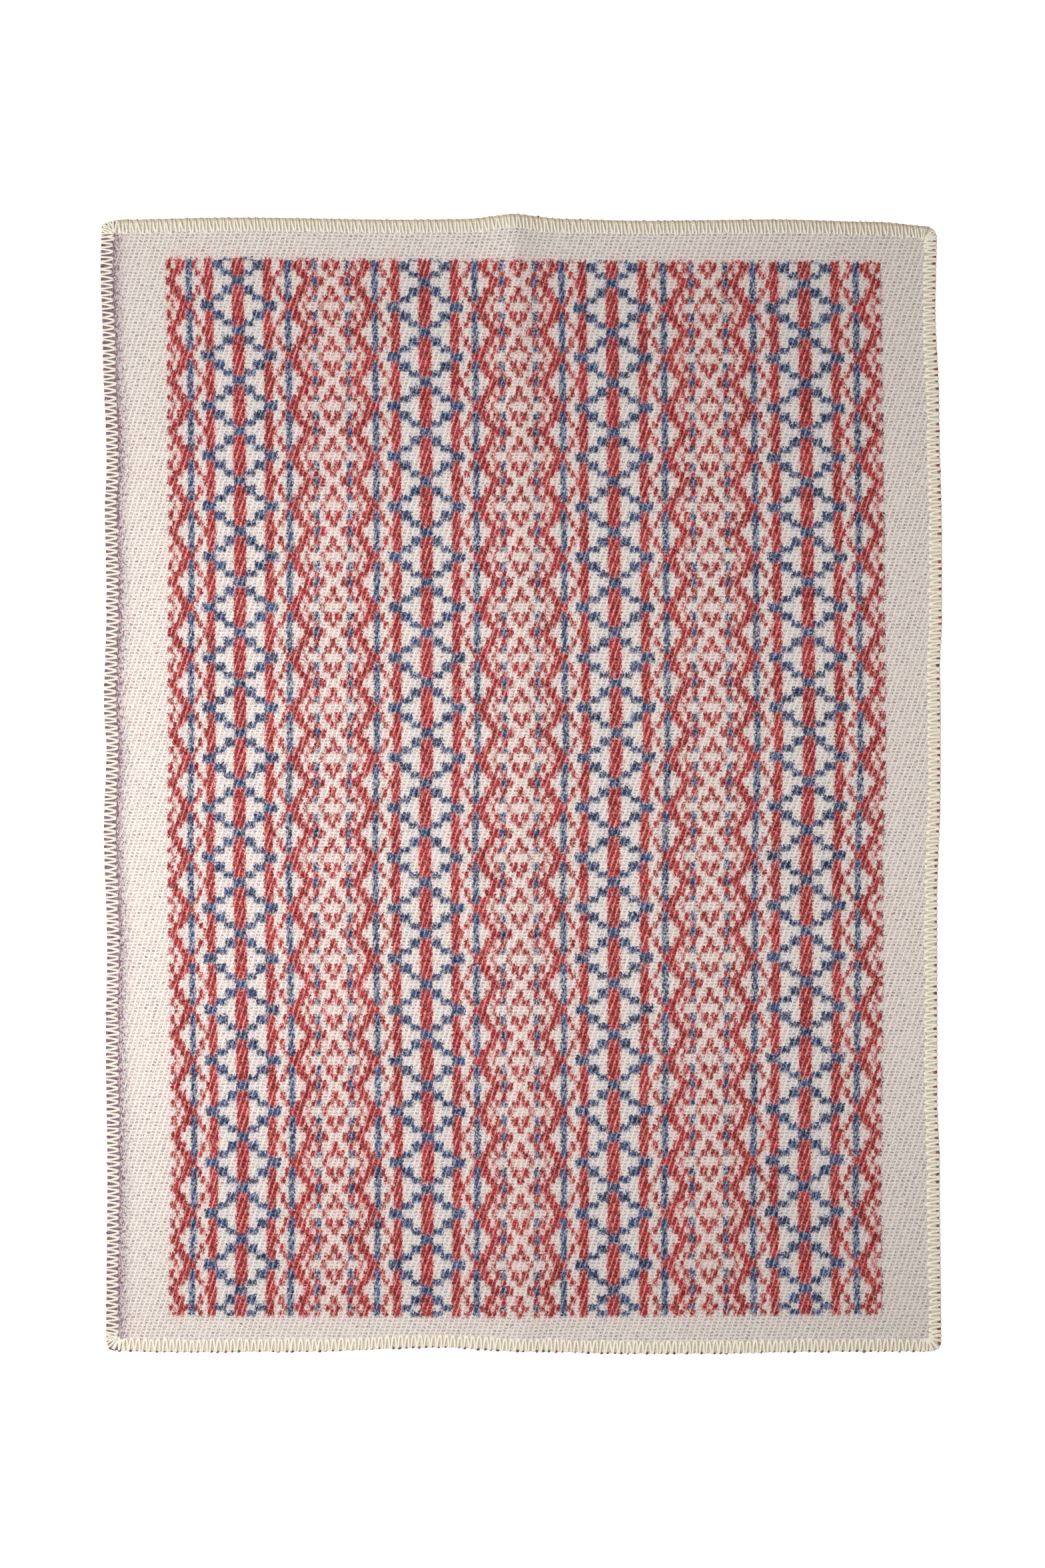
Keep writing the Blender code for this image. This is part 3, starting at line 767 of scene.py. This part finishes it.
def rim_places(side, along, inset, height):
    """Laid points on a side's run: along it, in from the edge, up.

    A run's outer and inner lines have the same stations, so a point is read on both at the same
    place along, and lies between them as its inset says.
    """
    outer, inner, station = run_lines(side)
    share = inset / EDGING_DEPTH
    x, y = (
        np.interp(along, station, outer_at) * (1 - share) + np.interp(along, station, inner_at) * share
        for outer_at, inner_at in zip(outer.T, inner.T)
    )
    moved_x, moved_y = wandered(x, y)
    return np.stack([moved_x + SHIFT[0], moved_y + SHIFT[1], height + lift(x, y)], axis=-1)


def stitch_middles(side):
    """Where the stitches of a side lie along its run: at its pitch there, with some jitter.

    They crowd together where the run turns a corner, at both its ends.
    """
    pitches, seed = STITCHES[side][0], STITCHES[side][-1]
    length = run_lines(side)[2][-1]
    last = WHOLE_CORNER_CROWDED if side == "left" else HALF_CORNER_CROWDED
    edges = spread_places(0.0, length, lambda place: np.interp(place / length, (0, 0.5, 1), pitches) * (
        np.where((place < HALF_CORNER_CROWDED) | (place > length - last), CROWDED_PITCH, 1.0)))
    middles = (edges[:-1] + edges[1:]) / 2
    return middles + np.random.default_rng(seed).normal(0, 0.00022, len(middles)), length


def stitch_legs(side):
    """The centre lines of a side's legs, the direction along the rim there, and their insets.

    A leg starts in the cloth at the V's point, where a round point brings it close to its twin. It
    runs out over the face, drifts away from its twin up to half the gap at the edge, turns round the
    edge in half a circle, and goes back below the cloth.
    """
    _, depth, _, point_gap, edge_gap, lean, roundness, raised, seed = STITCHES[side]
    random = np.random.default_rng(seed + 50)
    middles, length = stitch_middles(side)
    number = len(middles)
    depth = np.repeat(depth + random.normal(0, 0.00045, number), 2)[:, None]
    lean = np.repeat(lean + random.normal(0, 0.00030, number), 2)[:, None]
    edge_gap = np.repeat(edge_gap + random.normal(0, 0.00016, number), 2)[:, None]
    point_gap = np.repeat(point_gap * random.uniform(0.7, 1.3, number), 2)[:, None]
    middles = np.repeat(middles, 2)[:, None]
    hand = np.tile([-1.0, 1.0], number)[:, None]
    over = RIM_BOTTOM + RIM_THICKNESS + YARN_TALL * 0.40 + raised
    under = YARN_TALL * 1.5
    turn = np.radians([60, 5, -55])

    inset = np.concatenate([
        depth * np.array([0.985, 1.0, 0.94, 0.72, 0.44, 0.18]),
        np.broadcast_to(TURN_START - np.cos(turn) * (TURN_START - YARN_TALL * 1.2), (2 * number, 3)),
        depth * np.array([0.35, 0.90])], axis=1)
    height = np.concatenate([
        over + np.array([-0.0011, -0.0002, 0.00008, 0, 0, 0]),
        (over + under) / 2 + np.sin(turn) * (over - under) / 2, under + np.array([0, 0.0006])])
    height = height + random.normal(0, 0.00005, (2 * number, 1))
    drift = np.array([0, 0, 0.08, 0.38, 0.72, 0.95, 1, 1, 1, 0.8, 0.0])
    pull = 1 - roundness * np.concatenate([[1.0, 0.75, 0.30], np.zeros(LEG_STATIONS - 3)])
    apart = (point_gap + (edge_gap - point_gap) * drift) * pull
    along = np.clip(middles + lean * (1 - inset / depth) + hand * apart, 0.0002, length - 0.0002)
    centres = rim_places(side, along, inset, height)
    ahead, behind = (rim_places(side, along + step, inset, height) for step in (0.0005, -0.0005))
    return centres, ahead - behind, inset


def yarn_tubes(centres, sideways, wide, tall, twist):
    """Points round many centre lines at once, (tube, station, 3), and the length along each.

    A section is the yarn's, times its half width across and its height upwards. Its size swells by
    an eighth twice round, as two plies do, and the swelling turns with the length.
    """
    tangent = np.gradient(centres, axis=1)
    tangent /= np.linalg.norm(tangent, axis=2, keepdims=True)
    across = sideways - tangent * (sideways * tangent).sum(axis=2, keepdims=True)
    across /= np.linalg.norm(across, axis=2, keepdims=True)
    upward = np.cross(tangent, across)
    steps = np.linalg.norm(np.diff(centres, axis=1), axis=2)
    length = np.concatenate([np.zeros((len(centres), 1)), np.cumsum(steps, axis=1)], axis=1)
    angle = np.arctan2(YARN_SECTION[:, 1], YARN_SECTION[:, 0])
    swell = 1 + 0.12 * np.cos(2 * angle - 4 * math.pi * length[..., None] / twist)
    out = across[:, :, None] * (YARN_SECTION[:, 0] * swell * wide)[..., None]
    out = out + upward[:, :, None] * (YARN_SECTION[:, 1] * swell * tall)[..., None]
    return centres[:, :, None] + out, length


def tube_corners(grid):
    """The corners of tubes' side faces, from an array with a row for each (tube, station, turn)."""
    return np.stack([grid[:, :-1, :-1], grid[:, :-1, 1:], grid[:, 1:, 1:], grid[:, 1:, :-1]], axis=3)


def tube_faces(tubes, stations, corners):
    """The side faces and the two end caps of many tubes whose points follow each other."""
    index = np.arange(tubes * stations * corners).reshape(tubes, stations, corners)
    index = np.concatenate([index, index[:, :, :1]], axis=2)
    return tube_corners(index).reshape(-1, 4), np.concatenate([index[:, 0, -2::-1], index[:, -1, :-1]])


# Carded wool yarn, spun and plied: soft and matt, ivory, with painted shade in tan where the legs turn
# round the edge. The fine oblique lines are the twist of its two plies, one turn in 4.2 mm, with painted
# shade in their grooves.
ply_yarn, tree, surface = new_material("ivory_two_ply_wool_yarn", {
    "Roughness": 0.9, "Specular IOR Level": 0.2, "IOR": 1.54,
    "Sheen Weight": 0.3, "Sheen Roughness": 0.5})
ply_map = add(tree, "UVMap", uv_map="plies")
split = add(tree, "SeparateXYZ", ply_map)
turns = -1 / (PLY_TURN * 1000)
turns = add(tree, "Math", split.outputs[0], turns, split.outputs[1], operation="MULTIPLY_ADD")
off_groove = add(tree, "Math", turns, 0.25, operation="PINGPONG")
groove = add(tree, "MapRange", off_groove, 0.07, 0.0, interpolation_type="SMOOTHSTEP")
fuzz_map = add(tree, "VectorMath", ply_map, (1.3, 4.0, 0), operation="MULTIPLY")
fuzz = add(tree, "TexNoise", fuzz_map, 1.4, 2.0, 0.6, noise_dimensions="2D")
# Painted shade, in tan, towards the edge where the legs turn round it.
tan = add(tree, "Attribute", attribute_name="near_edge").outputs["Fac"]
tan = add(tree, "MapRange", tan, 0.60, 0.80, 0.0, 0.75, interpolation_type="SMOOTHSTEP")
ivory = add(tree, "MapRange", fuzz, 0.3, 0.65)
ivory = add(tree, "Mix", ivory, linear("#F2E6D0"), linear("#FAF4E3"))
ivory = add(tree, "Mix", tan, ivory, linear("#CDB896"))
# Painted shade in the grooves between the plies.
groove_shade = add(tree, "Math", groove, 0.32, operation="MULTIPLY")
ivory = add(tree, "Mix", groove_shade, ivory, linear("#C9B99C"))
relief = add(tree, "Math", groove, -1.0, fuzz, operation="MULTIPLY_ADD")
finish_surface(ivory, relief, 0.4, 0.0002)

for side in STITCHES:
    centres, beside, inset = stitch_legs(side)
    tubes, length = yarn_tubes(centres, beside, STITCHES[side][2], YARN_TALL, PLY_TURN)
    legs = len(centres)
    sides, caps = tube_faces(legs, LEG_STATIONS, LEG_CORNERS)
    stitching = mesh_object(f"stitching_{side}", tubes.reshape(-1, 3), sides, caps)
    around = np.linspace(0, 1, LEG_CORNERS + 1)
    plies = np.repeat((length * 1000)[:, :, None], LEG_CORNERS + 1, axis=2)
    plies = tube_corners(np.stack([plies, np.broadcast_to(around, plies.shape)], axis=3))
    # The bake map gives each leg a small rectangle of its own, in rows of 20.
    rows = math.ceil(legs / 20)
    cell = np.arange(legs)[:, None, None]
    bake_u = (cell % 20 + 0.06 + 0.88 * (np.arange(LEG_STATIONS) / (LEG_STATIONS - 1))[None, :, None]) / 20
    bake_v = (cell // 20 + 0.10 + 0.80 * around[None, None, :]) / rows
    bake = tube_corners(np.stack(np.broadcast_arrays(bake_u, bake_v), axis=3))
    cap_turn = np.linspace(0, 2 * math.pi, LEG_CORNERS, endpoint=False)
    cap_round = np.stack([0.03 * np.cos(cap_turn), 0.04 * np.sin(cap_turn)], axis=1)
    cap_middle = np.stack([(cell[:, 0, 0] % 20 + 0.03) / 20, (cell[:, 0, 0] // 20 + 0.95) / rows], axis=1)
    cap_middle = np.concatenate([cap_middle, cap_middle + [0.90 / 20, 0]])
    bake_caps = cap_middle[:, None] + cap_round[None] / [20, rows]
    cap_plies = np.zeros((2 * legs * LEG_CORNERS, 2))
    lay_map(stitching, "plies", np.concatenate([plies.reshape(-1, 2), cap_plies]))
    lay_map(stitching, "OFBake", np.concatenate([bake.reshape(-1, 2), bake_caps.reshape(-1, 2)]))
    # How much painted shade each leg takes towards the edge: most at the top.
    near_edge = np.clip(1 - inset / EDGING_DEPTH, 0, 1) * (1.0 if side == "top" else 0.70)
    mark_points(stitching, "near_edge", np.repeat(near_edge, LEG_CORNERS, axis=1))
    stitching.data.materials.append(ply_yarn)
    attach(stitching, "root")
    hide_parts(f"edging_{side}")

# THE CUT ENDS
# Where the loom's threads were cut, short tufts of them stick out between the legs of each V: red at
# the right, navy at the bottom, and tan at the top, all bound in by the yarn. The tan tufts are painted
# shade of the yarn where it turns round the edge.

# For each side: the share of stitches with a tuft, its half sizes along, outwards and up, how far in
# its middle lies, and the shares of tufts that are red and navy, with tan, painted shade, for the rest.
TUFTS = {
    "top": (0.85, 0.00085, 0.00090, 0.00080, 0.0010, 0.06, 0.02, 21),
    "right": (0.94, 0.00135, 0.00170, 0.00125, 0.0024, 0.86, 0.12, 22),
    "bottom": (0.92, 0.00145, 0.00120, 0.00095, 0.0009, 0.12, 0.84, 23),
    "left": (0.50, 0.00070, 0.00080, 0.00070, 0.0012, 0.55, 0.40, 24),
}
TUFT_SHIFTS = {"top": 0.00275, "bottom": -0.00095}  # how far along from a V's middle they lie
TUFT_RINGS, TUFT_SPOKES = 4, 7

tuft_points, tuft_hues = [], []
ring = np.linspace(0.12, 0.88, TUFT_RINGS) * math.pi
spoke = np.linspace(0, 2 * math.pi, TUFT_SPOKES, endpoint=False)
for side, (share, half_along, half_out, half_up, inset, red_share, navy_share, seed) in TUFTS.items():
    random = np.random.default_rng(seed)
    middles, length = stitch_middles(side)
    lean = STITCHES[side][5]
    middles = middles[random.random(len(middles)) < share]
    number = len(middles)
    size = random.uniform(0.6, 1.15, (number, 1, 1))
    rough = random.uniform(0.75, 1.25, (number, TUFT_RINGS, TUFT_SPOKES))
    place = middles + lean + TUFT_SHIFTS.get(side, 0.0) + random.normal(0, 0.0003, number)
    along = place[:, None, None] + size * rough * half_along * np.sin(ring)[:, None] * np.cos(spoke)
    inward = inset + random.normal(0, 0.0002, (number, 1, 1))
    inward = inward + size * half_out * np.cos(ring)[:, None] * np.ones(TUFT_SPOKES)
    up = RIM_BOTTOM + RIM_THICKNESS * 0.8 + size * rough * half_up * np.sin(ring)[:, None] * np.sin(spoke)
    up = np.broadcast_to(up, along.shape)
    tuft_points.append(rim_places(side, np.clip(along, 0, length), inward, up))
    draw = random.random(number)
    hue = np.where(draw < red_share, 0.0, np.where(draw < red_share + navy_share, 0.5, 1.0))
    tuft_hues.append(np.repeat(hue, TUFT_RINGS * TUFT_SPOKES))

tuft_points = np.concatenate(tuft_points)
sides, caps = tube_faces(len(tuft_points), TUFT_RINGS, TUFT_SPOKES)
tufts_piece = mesh_object("cut_thread_ends", tuft_points.reshape(-1, 3), sides, caps)
mark_points(tufts_piece, "hue", np.concatenate(tuft_hues))

# Cut wool, frayed: darker than the cloth's own face because its ends swallow the light. The tan
# ones are painted shade of the yarn at the edge.
cut_wool, tree, surface = new_material("cut_wool_ends", {
    "Roughness": 1.0, "Specular IOR Level": 0.1, "IOR": 1.54})
hue_mark = add(tree, "Attribute", attribute_name="hue").outputs["Fac"]
hues = add(tree, "ValToRGB", hue_mark)
# Red and navy cut ends, and tan tufts of painted shade.
stepped(hues, [(0.0, linear("#7E1824")), (0.25, linear("#282C4A")), (0.75, linear("#B09C7C"))])
place = add(tree, "TexCoord")
frayed = add(tree, "TexNoise", place.outputs["Object"], 1400.0, 2.0, 0.6)
frayed = add(tree, "MapRange", frayed, 0.42, 0.70, 0.0, 0.55)
frayed = add(tree, "Mix", frayed, hues, linear("#D9B9A8"))
finish_surface(frayed)
tufts_piece.data.materials.append(cut_wool)
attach(tufts_piece, "root")

# THE FLOOR, THE LIGHT AND THE CAMERA
# A sheet of white paper that glows a little, as over a light table, with one large soft light high
# on the left, a weaker one over the middle, and the camera straight above.

VIEW_LENGTH = 1.2466  # metres of the floor that the photograph takes in, up and down
CAMERA_HEIGHT = 2.3
OFF_CENTRE = 0.00106  # how far right of and above the blanket's middle the photograph is centred

floor = mesh_object("floor", [(-3, -3, 0), (3, -3, 0), (3, 3, 0), (-3, 3, 0)], np.array([[0, 1, 2, 3]]))
paper = new_material("white_paper", {
    "Base Color": linear("#F2F2F2"), "Roughness": 0.9, "Specular IOR Level": 0.1,
    "Emission Color": (1, 1, 1, 1), "Emission Strength": 0.65})[0]
floor.data.materials.append(paper)


def softbox(name, place, aim, size, power):
    """A square light at a place, turned to face a point."""
    light = bpy.data.lights.new(name, "AREA")
    light.shape, light.size, light.size_y = "RECTANGLE", size[0], size[1]
    light.energy = power
    made = put_in_scene(name, light)
    made.location = place
    toward = np.array(aim) - np.array(place)
    flat = math.hypot(toward[0], toward[1])
    heading = math.atan2(toward[1], toward[0]) - math.pi / 2
    made.rotation_euler = (math.pi / 2 + math.atan2(toward[2], flat), 0, heading)
    made.visible_camera = False


softbox("key_softbox", (-0.80, -0.06, 0.95), (0, 0, 0), (0.6, 0.8), 10.5)
softbox("fill_softbox", (0.05, -0.05, 1.05), (0.05, 0, 0), (0.9, 0.8), 4.3)

sky = bpy.data.worlds.new("pale_studio")
bpy.context.scene.world = sky
sky.use_nodes = True
sky.node_tree.nodes["Background"].inputs["Color"].default_value = (1, 1, 1, 1)
sky.node_tree.nodes["Background"].inputs["Strength"].default_value = 0.35

camera_data = bpy.data.cameras.new("camera")
camera_data.sensor_width = 36
camera_data.lens = 36 * CAMERA_HEIGHT / VIEW_LENGTH
camera = put_in_scene("camera", camera_data)
camera.location = (OFF_CENTRE + SHIFT[0], OFF_CENTRE + SHIFT[1], CAMERA_HEIGHT)
bpy.context.scene.camera = camera
bpy.context.scene.view_settings.view_transform = "Standard"
